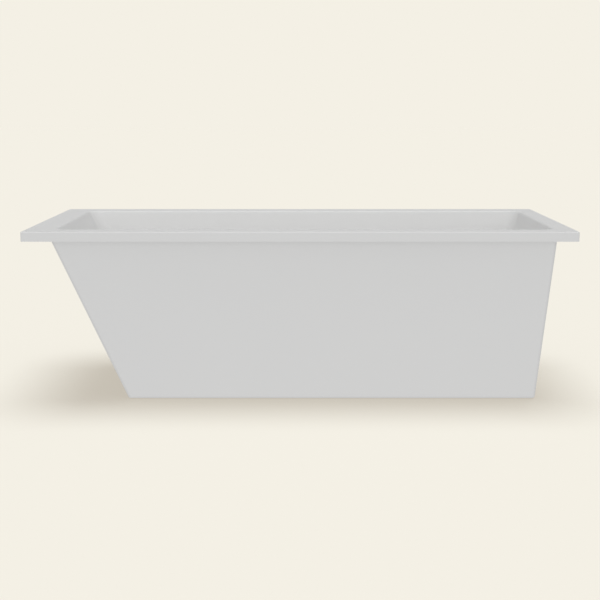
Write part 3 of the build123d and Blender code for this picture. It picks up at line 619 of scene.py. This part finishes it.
# %% Plastics
def black_plastic():
    """Near-black nylon with a fine spark texture and a few rubbed places."""
    finish = Finish("black_plastic")
    spark = finish.noise(3200.0, detail=2.0)
    rubbed = finish.band(finish.noise(60.0, detail=4.0), 0.5, 0.75)
    return finish.surface(
        Base_Color=finish.mix((0.022, 0.022, 0.023), (0.050, 0.050, 0.050), spark * 0.5 + rubbed * 0.3),
        Roughness=0.62 - rubbed * 0.2, Normal=finish.bump(spark, 0.00008, 0.7))


def rubber_black():
    """Matte black rubber with a grey bloom in clouds and fine specks."""
    finish = Finish("rubber_black")
    bloom = finish.band(finish.noise(35.0, detail=4.0), 0.40, 0.78)
    specks = finish.noise(1800.0, detail=2.0)
    return finish.surface(
        Base_Color=finish.mix((0.020, 0.020, 0.020), (0.085, 0.083, 0.080), bloom * 0.8),
        Roughness=bloom * 0.12 + specks * 0.1 + 0.70, Specular_IOR_Level=0.3,
        Normal=finish.bump(specks, 0.00006, 0.6))


def moulded_plastic(name, pale, dark, gloss):
    """Smooth plastic with flow lines upwards, a fine grain and hair scuffs in its gloss."""
    finish = Finish(name)
    flow = finish.noise(60.0, detail=3.0, at=finish.stretched(z=0.25))
    grain = finish.noise(1500.0, detail=2.0)
    scuffs = finish.band(finish.noise(160.0, detail=5.0, at=finish.stretched(x=0.15)), 0.58, 0.70)
    return finish.surface(
        Base_Color=finish.mix(pale, dark, flow * 0.6 + scuffs * 0.3),
        Roughness=flow * 0.12 + scuffs * 0.2 + gloss,
        Normal=finish.bump(grain * 0.3 + flow * 0.7, 0.0001, 0.6))


finish_for["black_plastic"] = black_plastic()
finish_for["rubber_black"] = rubber_black()
finish_for["white_pipe"] = moulded_plastic("white_pipe", (0.80, 0.80, 0.78), (0.73, 0.72, 0.68), 0.30)
finish_for["grey_fitting"] = moulded_plastic("grey_fitting", (0.44, 0.45, 0.46), (0.36, 0.37, 0.38), 0.36)
print("finishes so far:", ", ".join(finish_for))

# %% [markdown]
# ## Every part gets its finish
#
# The record that comes with the frame names the material of each part, so one loop can give out all the
# finishes. Only the timber needs a choice, because its grain follows the batten's length.

# %% Give out the finishes
for part in frame["record"]["subparts"]:
    node, slot = part["node"], part["material_slot"]
    low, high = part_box(node)
    runs_along = "x" if high[0] - low[0] > high[1] - low[1] else "y"
    finish = timber_along[runs_along] if slot == "timber" else finish_for[slot]
    nodes[node].data.materials.clear()
    nodes[node].data.materials.append(finish)
print("finishes given out:", len(finish_for) + len(timber_along))

# %% [markdown]
# ## A skin over a grid of points
#
# Each detailed piece below is a surface: a grid of points worked out by numpy as whole arrays. A row of the
# grid is a ring around the piece, and the rows follow each other along its length. The skin over the grid
# is closed at its ends either by a pole, one point that the last ring fans to, or by joining the last ring
# to the first, as in a nut with its bore. Rings run anticlockwise and rows climb the outside, which makes
# every face look outwards.


# %% Skin
def skin(points, ends):
    """Vertices and faces of the closed skin over a grid (rows, columns, 3), its ends "poles" or "joined"."""
    rows, columns = points.shape[:2]
    index = np.arange(rows * columns).reshape(rows, columns)
    beside = np.roll(index, -1, axis=1)
    if ends == "joined":
        above, above_beside = np.roll(index, -1, axis=0), np.roll(beside, -1, axis=0)
        quads = np.stack([index, beside, above_beside, above], axis=-1).reshape(-1, 4)
        return points.reshape(-1, 3), quads.tolist()
    quads = np.stack([index[:-1], beside[:-1], beside[1:], index[1:]], axis=-1).reshape(-1, 4)
    first, last = np.full(columns, rows * columns), np.full(columns, rows * columns + 1)
    fans = np.concatenate([
        np.stack([first, beside[0], index[0]], axis=-1), np.stack([index[-1], beside[-1], last], axis=-1)])
    poles = points[[0, -1]].mean(axis=1)
    return np.concatenate([points.reshape(-1, 3), poles]), quads.tolist() + fans.tolist()


for ends in ("poles", "joined"):
    print("a grid of 3 rings of 8 points,", ends, "has", len(skin(np.zeros((3, 8, 3)), ends)[1]), "faces")

# %% [markdown]
# ## Two ways to fill a grid
#
# Most of the pieces are round about an upright axis: their grid is a radius and a level for each row, and
# the radius may also change with the angle, as on a hexagon or in a thread. The others are rods along a
# path: a weld bead and a spring. The path has to say which way is its side, so that the rings don't twist
# about it.


# %% Grids
def angles(columns):
    """Equal angles round a ring."""
    return np.arange(columns) * (2 * pi / columns)


def about_axis(radius, height, centre):
    """Grid about an upright axis: x = cx + r cos a, y = cy + r sin a, z = height, with a round each row."""
    rows, columns = radius.shape
    angle = angles(columns)
    height = np.broadcast_to(np.reshape(height, (rows, -1)), (rows, columns))
    x, y = centre[0] + radius * np.cos(angle), centre[1] + radius * np.sin(angle)
    return np.stack([x, y, height], axis=-1)


def along_path(path, side, radius, columns):
    """Grid of a rod of this radius: path + r (n cos a + b sin a), with n the given side and b across it."""
    tangent = np.gradient(path, axis=0)
    tangent /= np.linalg.norm(tangent, axis=1, keepdims=True)
    across = np.cross(tangent, side)
    angle = angles(columns)[None, :, None]
    out = side[:, None, :] * np.cos(angle) + across[:, None, :] * np.sin(angle)
    return path[:, None, :] + out * np.reshape(radius, (-1, 1, 1))


print("angles of a hexagon's corners, in degrees:", np.degrees(angles(6)).round())

# %% [markdown] ## From grids to a piece  One function makes every piece. It joins the skins of its grids
# into one mesh, shades it smooth but keeps the real edges sharp, and leaves the object at the origin.


# %% New piece
def new_piece(name, grids, ends, body, slot, replaces=None, sharp=35.0):
    """One object from several skins, riding a body, with its slot's finish and edges sharp past an angle."""
    vertices, faces, count = [], [], 0
    for grid in grids:
        points, quads = skin(grid, ends)
        vertices.append(points)
        faces += [[count + corner for corner in face] for face in quads]
        count += len(points)
    mesh = bpy.data.meshes.new(name)
    mesh.from_pydata(np.concatenate(vertices).tolist(), [], faces)
    mesh.shade_smooth()
    mesh.set_sharp_from_angle(angle=radians(sharp))
    mesh.materials.append(finish_for[slot])
    piece = bpy.data.objects.new(name, mesh)
    bpy.context.scene.collection.objects.link(piece)
    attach(piece, body)
    if replaces:
        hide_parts(replaces)
    print(name, "faces:", len(faces))
    return piece


print("slots that a piece can have:", ", ".join(finish_for))

# %% [markdown]
# ## Threads and hexagons
#
# The bath stands on four threaded studs, and a stud turns in its weld nut to level it. Small functions give
# their shapes. A thread is a rod whose radius falls by a flat-topped triangle wave of the height, and the
# wave's phase turns once with the angle, which winds the groove into a helix. A hexagon's radius at an
# angle is half its width across the flats over the cosine of the angle to the nearest flat, and its corners
# are cut back by a cone from each end.

# %% Threads and hexagons
corner_slope = 1.73
end_flat_share = 0.97


def thread_groove(height, angle, pitch, depth):
    """depth * clip(1.25 |2 frac(z / pitch - a / 2 pi) - 1| - 0.125, 0, 1): flat crests and roots."""
    turn = (height[:, None] / pitch - angle[None, :] / (2 * pi)) % 1.0
    return depth * np.clip(1.25 * np.abs(2 * turn - 1) - 0.125, 0, 1)


def hexagon(angle, across_flats):
    """Radius of a hexagon with a corner at angle 0: (w / 2) / cos(a mod 60 degrees - 30 degrees)."""
    return across_flats / 2 / np.cos(angle % (pi / 3) - pi / 6)


def chamfered_hexagon(height, angle, across_flats, bottom, top):
    """The hexagon, cut back at both ends by a cone of 30 degrees."""
    from_end = np.minimum(height - bottom, top - height)
    cone = across_flats / 2 * end_flat_share + from_end * corner_slope
    return np.minimum(hexagon(angle, across_flats)[None, :], cone[:, None])


print("a hexagon 17 mm across flats is", round(float(hexagon(0.0, 17.0)) * 2, 2), "mm across corners")

# %% [markdown]
# ## Studs
#
# A stud is the screw that carries its corner of the bath. It could be a plain rod under a bump map, but its
# thread and its hexagon show in outline, so both are real. The thread comes from the groove above, and a
# short hexagon over the pad takes the spanner. The stud keeps a hair's breadth clear of the pad that it
# turns in.

# %% Studs
stud_radius = 0.006
stud_pitch = 0.00175
thread_depth = 0.00095
end_chamfer = 0.0012
steps_per_pitch = 8
stud_columns = 48
drive_height = 0.007
drive_rows = 15
drive_across_flats = 0.017
running_gap = 0.00015
feet = ("head_front", "head_rear", "foot_front", "foot_rear")


def stud(place):
    """Grid of a stud: thread, hexagon above the pad, thread, and an end cut back by end_chamfer."""
    bottom, top = span(f"foot_stud_{place}")
    bottom += running_gap
    drive_bottom = span(f"foot_pad_{place}")[1] + running_gap
    drive_top = drive_bottom + drive_height - running_gap
    step = stud_pitch / steps_per_pitch
    below = np.arange(bottom, drive_bottom, step)
    drive = np.linspace(drive_bottom, drive_top, drive_rows)
    above = np.append(np.arange(drive_top, top, step), top)
    angle = angles(stud_columns)
    height = np.concatenate([below, drive, above])
    radius = stud_radius - thread_groove(height, angle, stud_pitch, thread_depth)
    radius = np.minimum(radius, stud_radius - end_chamfer + (top - height)[:, None])
    here = slice(len(below), len(below) + len(drive))
    radius[here] = chamfered_hexagon(drive, angle, drive_across_flats, drive_bottom, drive_top)
    return about_axis(radius, height, middle(f"foot_stud_{place}"))


for place in feet:
    body, node = f"stud_{place}", f"foot_stud_{place}"
    new_piece(f"threaded_stud_{place}", [stud(place)], "poles", body, "zinc_steel", node)

# %% [markdown]
# ## Nuts
#
# Every stud runs through a nut welded under its cross tube, and a lock nut jams against that one. Both are
# the same shape, so one grid serves for all eight: it climbs the flats and comes down the bore, and its
# ends are joined.

# %% Nuts
nut_across_flats = 0.019
nut_clearance = 0.00006
countersink = 0.0007
nut_columns = 96
nut_rows = 21


def nut(place, bottom, top):
    """Grid of a hexagon nut: up its flats, in over the top, down the bore with a countersink at each end."""
    angle = angles(nut_columns)
    bore = stud_radius + nut_clearance
    height = np.linspace(bottom, top, nut_rows)
    outside = chamfered_hexagon(height, angle, nut_across_flats, bottom, top)
    inner_height = np.array([top, top - countersink, bottom + countersink, bottom])
    inside = np.array([bore + countersink, bore, bore, bore + countersink])[:, None] * np.ones_like(angle)
    radius = np.concatenate([outside, inside])
    return about_axis(radius, np.concatenate([height, inner_height]), middle(f"foot_stud_{place}"))


for place in feet:
    lock_nut = nut(place, *span(f"foot_locknut_{place}"))
    new_piece(f"lock_nut_{place}", [lock_nut], "joined", "bath", "zinc_steel", f"foot_locknut_{place}")
weld_nuts = [nut(place, *span("frame_weld_nuts")) for place in feet]
new_piece("weld_nuts", weld_nuts, "joined", "bath", "zinc_steel", "frame_weld_nuts")

# %% [markdown]
# ## Pads that grip the floor
#
# A pad is one rubber moulding about its stud's axis. It could be a plain disc, but a real one has grip
# rings under its sole and flutes round its edge, so that a hand can turn it while the bath is still on its
# side. The profile is a chain of short curves from the sole's middle out, up over the shoulder and down
# into the socket, and the flutes are a cosine of the angle taken off the radius of the edge rows only.

# %% Pads
pad_radius = 0.030
pad_height = 0.014
pad_edge = 0.0056
side_start = 0.002
pad_edge_round = 0.0015
pad_neck = 0.011
hollow_power = 1.6
sole_start = 0.001
sole_rows = 60
grip_start = 0.006
grip_pitch = 0.0042
grip_depth = 0.0008
socket_radius = 0.00606
socket_floor = 0.005
socket_mouth = 0.0006
flutes = 48
flute_depth = 0.0007
flute_reach = 0.0012
columns_per_flute = 4


def pad(place):
    """Grid of a pad: sole with rings, rounded edge with flutes, hollow shoulder, socket."""
    sole_radius = np.linspace(sole_start, pad_radius - pad_edge_round, sole_rows)
    rings = np.clip(np.sin(sole_radius * 2 * pi / grip_pitch) * 3, 0, 1)
    grooves = grip_depth * rings * (sole_radius > grip_start)
    turn = np.linspace(0, pi / 2, 6)[1:]
    edge_radius = pad_radius - pad_edge_round * (1 - np.sin(turn))
    edge_height = pad_edge_round * (1 - np.cos(turn))
    side_height = np.linspace(side_start, pad_edge, 6)
    share = np.linspace(0, 1, 14)[1:]
    shoulder_radius = pad_radius + (pad_neck - pad_radius) * share
    shoulder_height = pad_edge + (pad_height - pad_edge) * share ** hollow_power
    socket_heights = np.array([pad_height, pad_height, socket_floor, socket_floor])
    socket_radii = np.array([socket_radius + socket_mouth, socket_radius, socket_radius, sole_start])
    side_radius = np.full_like(side_height, pad_radius)
    radius = np.concatenate([sole_radius, edge_radius, side_radius, shoulder_radius, socket_radii])
    height = np.concatenate([grooves, edge_height, side_height, shoulder_height, socket_heights])
    angle = angles(columns_per_flute * flutes)
    flute = flute_depth * (0.5 + 0.5 * np.cos(flutes * angle))
    fluted = (radius > pad_radius - flute_reach)[:, None] * flute
    return about_axis(radius[:, None] - fluted, height, middle(f"foot_pad_{place}"))


for place in feet:
    body, node = f"pad_{place}", f"foot_pad_{place}"
    new_piece(f"ribbed_pad_{place}", [pad(place)], "poles", body, "rubber_black", node)

# %% [markdown]
# ## Screws through the rails
#
# Eight screws hold the board down on the frame. Each has a domed head with a hexagon socket, a plain shank
# where it passes through the tube, and a coarse thread in the wood. The skin starts on the socket's floor,
# comes down the socket's wall, goes out over the head and up the shank to the tip, so the socket is real
# depth and not a picture.

# %% Screws
screw_radius = 0.0025
screw_core = 0.0018
screw_pitch = 0.0022
screw_head_radius = 0.0052
screw_socket = 0.0043
socket_depth = 0.0019
dome_rise = 0.0013
socket_chamfer = 0.0002
point_length = 0.0035
point_shoulder = 0.0033
point_radius = 0.0003
screw_columns = 24
dome_rows = 8
thread_rows = 48
screws_per_rail = 4
rails = ("frame_rail_front", "frame_rail_rear")
first_x = float(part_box("frame_screws")[0][0]) + screw_head_radius
last_x = float(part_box("frame_screws")[1][0]) - screw_head_radius
screw_xs = np.linspace(first_x, last_x, screws_per_rail)
screw_places = [(x, middle(rail)[1]) for rail in rails for x in screw_xs]


def screw(centre):
    """Grid of a screw, head down: socket floor and wall, dome z = rise out^3, shank, thread and point."""
    bottom, top = span("frame_screws")
    seat = span("frame_rail_front")[0]
    wood = span("base_board")[0]
    angle = angles(screw_columns)
    flat = np.ones_like(angle)
    hexagonal = hexagon(angle, screw_socket)
    out = np.linspace(0.0, 1.0, dome_rows)[:, None]
    mouth = hexagonal[None, :] + socket_chamfer
    dome = mouth + out * (screw_head_radius - mouth)
    dome_height = bottom + dome_rise * out[:, 0] ** 3
    thread_height = np.linspace(wood, top - point_length, thread_rows)
    depth = screw_radius - screw_core
    thread_radius = screw_radius - thread_groove(thread_height, angle, screw_pitch, depth)
    radius = np.concatenate([
        [hexagonal, hexagonal], dome, [screw_head_radius * flat, screw_radius * flat, screw_radius * flat],
        thread_radius, [screw_core * flat, point_radius * flat]])
    height = np.concatenate([
        [bottom + socket_depth, bottom + socket_chamfer], dome_height, [seat, seat, wood], thread_height,
        [top - point_shoulder, top]])
    return about_axis(radius, height, centre)


screws = [screw(place) for place in screw_places]
new_piece("board_screws", screws, "poles", "bath", "zinc_steel", "frame_screws")

# %% [markdown]
# ## Weld beads
#
# Where a rail meets a cross tube, a bead of weld runs down one side of the joint, under it and up the other
# side. It is the mark of a real frame. A bead is a rod carried along that path, and its radius rises and
# falls as the weld pool froze in ripples. Both ends taper off, and the powder coat covers it as it covers
# the tube.

# %% Weld beads
bead_radius = 0.0023
ripple_length = 0.0019
ripple_share = 0.12
taper_length = 0.003
least_taper = 0.02
tube_half = 0.015
tube_corner = 0.003
bead_top_gap = 0.002
side_points = 40
bead_rows = 300
bead_columns = 10


def bead_path(x, y):
    """Points down one side of the tube, round a corner, under it, round the next and up the other side."""
    bottom, top = span("frame_rail_front")
    turn = np.linspace(0, pi / 2, 9)
    down = np.linspace(top - bead_top_gap, bottom + tube_corner, side_points)
    under = np.linspace(-tube_half + tube_corner, tube_half - tube_corner, side_points)
    corner_out = tube_half - tube_corner + tube_corner * np.cos(turn)
    corner_down = bottom + tube_corner - tube_corner * np.sin(turn)
    side = np.full(side_points, tube_half)
    across = np.concatenate([-side, -corner_out[1:-1], under, corner_out[-2:0:-1], side])
    height = np.concatenate([
        down, corner_down[1:-1], np.full(side_points, bottom), corner_down[-2:0:-1], down[::-1]])
    return np.stack([np.full_like(across, x), y + across, height], axis=-1)


def bead(x, y):
    """Grid of a bead round three sides of a tube end: radius r0 (1 + 0.12 |sin(pi s / ripple)|), tapered."""
    path = bead_path(x, y)
    distance = np.append(0, np.cumsum(np.linalg.norm(np.diff(path, axis=0), axis=1)))
    fine = np.linspace(0, distance[-1], bead_rows)
    path = np.stack([np.interp(fine, distance, path[:, axis]) for axis in range(3)], axis=-1)
    taper = np.sqrt(np.clip(np.minimum(fine, distance[-1] - fine) / taper_length, least_taper, 1))
    radius = bead_radius * (1 + ripple_share * np.abs(np.sin(pi * fine / ripple_length))) * taper
    tangent = np.gradient(path, axis=0)
    tangent /= np.linalg.norm(tangent, axis=1, keepdims=True)
    side = np.cross(np.array([1.0, 0.0, 0.0]), tangent)
    return along_path(path, side, radius, bead_columns)


faces_with_rails = {"frame_cross_head": (1,), "frame_cross_middle": (-1, 1), "frame_cross_foot": (-1,)}
beads = []
for tube, faces in faces_with_rails.items():
    for face in faces:
        for rail in rails:
            beads.append(bead(middle(tube)[0] + face * tube_half, middle(rail)[1]))
new_piece("weld_beads", beads, "poles", "bath", "painted_tube", sharp=80.0)

# %% [markdown]
# ## The plug's cap
#
# The plug's cap is a shallow dome of turned brass under chrome, and it is what a hand touches, so its curve
# is worked out finely: a circle through the crown and the edge.

# %% Plug cap
cap_radius = 0.032
cap_edge = 0.003
boss_radius = 0.020
stem_radius = 0.004
edge_round = 0.0006
crown_hole = 0.0005
dome_rings = 60
cap_columns = 128


def cap():
    """Grid of the cap: stem hole, boss, underside, rounded edge, z = top - (R - sqrt(R^2 - r^2)) over it."""
    bottom, top = span("plug_cap")
    under = span("plug_seal")[1]
    crown = top - under - cap_edge
    dome_radius = (cap_radius ** 2 + crown ** 2) / (2 * crown)
    out = np.linspace(cap_radius - edge_round, crown_hole, dome_rings)
    turn = np.linspace(-pi / 2, 0.4 * pi, 9)
    edge_radius = cap_radius - edge_round + edge_round * np.cos(turn)
    edge_centre = np.where(turn < 0, under + edge_round, under + cap_edge - edge_round)
    edge_height = edge_centre + edge_round * np.sin(turn)
    beneath = [crown_hole, stem_radius, stem_radius, boss_radius, boss_radius]
    radius = np.concatenate([beneath, edge_radius, out])
    height = np.concatenate([
        [under, under, bottom, bottom, under], edge_height,
        top - (dome_radius - np.sqrt(dome_radius ** 2 - out ** 2))])
    return about_axis(radius[:, None] * np.ones((1, cap_columns)), height, waste_axis)


new_piece("domed_cap", [cap()], "poles", "plug", "chrome", "plug_cap")

# %% [markdown] ## The plug's spring  The spring inside the cartridge is a wire wound six times. Its turns
# lie closer near both ends, as a coiling machine leaves them.

# %% Spring
wire_radius = 0.0006
coil_radius = 0.0052
coil_turns = 6
spring_rows = 720
spring_columns = 12


def spring():
    """Grid of the wire: angle 2 pi n t, level z0 + h (t - 0.5 sin(2 pi t) / 2 pi), with t from 0 to 1."""
    bottom, top = span("plug_spring")
    t = np.linspace(0, 1, spring_rows)
    angle = 2 * pi * coil_turns * t
    rise = top - bottom - 2 * wire_radius
    level = bottom + wire_radius + rise * (t - 0.5 * np.sin(2 * pi * t) / (2 * pi))
    side = np.stack([np.cos(angle), np.sin(angle), np.zeros_like(t)], axis=-1)
    axis = np.stack([np.full_like(t, waste_axis[0]), np.full_like(t, waste_axis[1]), level], axis=-1)
    return along_path(side * coil_radius + axis, side, wire_radius, spring_columns)


coil = new_piece("coil_spring", [spring()], "poles", "bath", "spring_steel", "plug_spring")
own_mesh(coil)
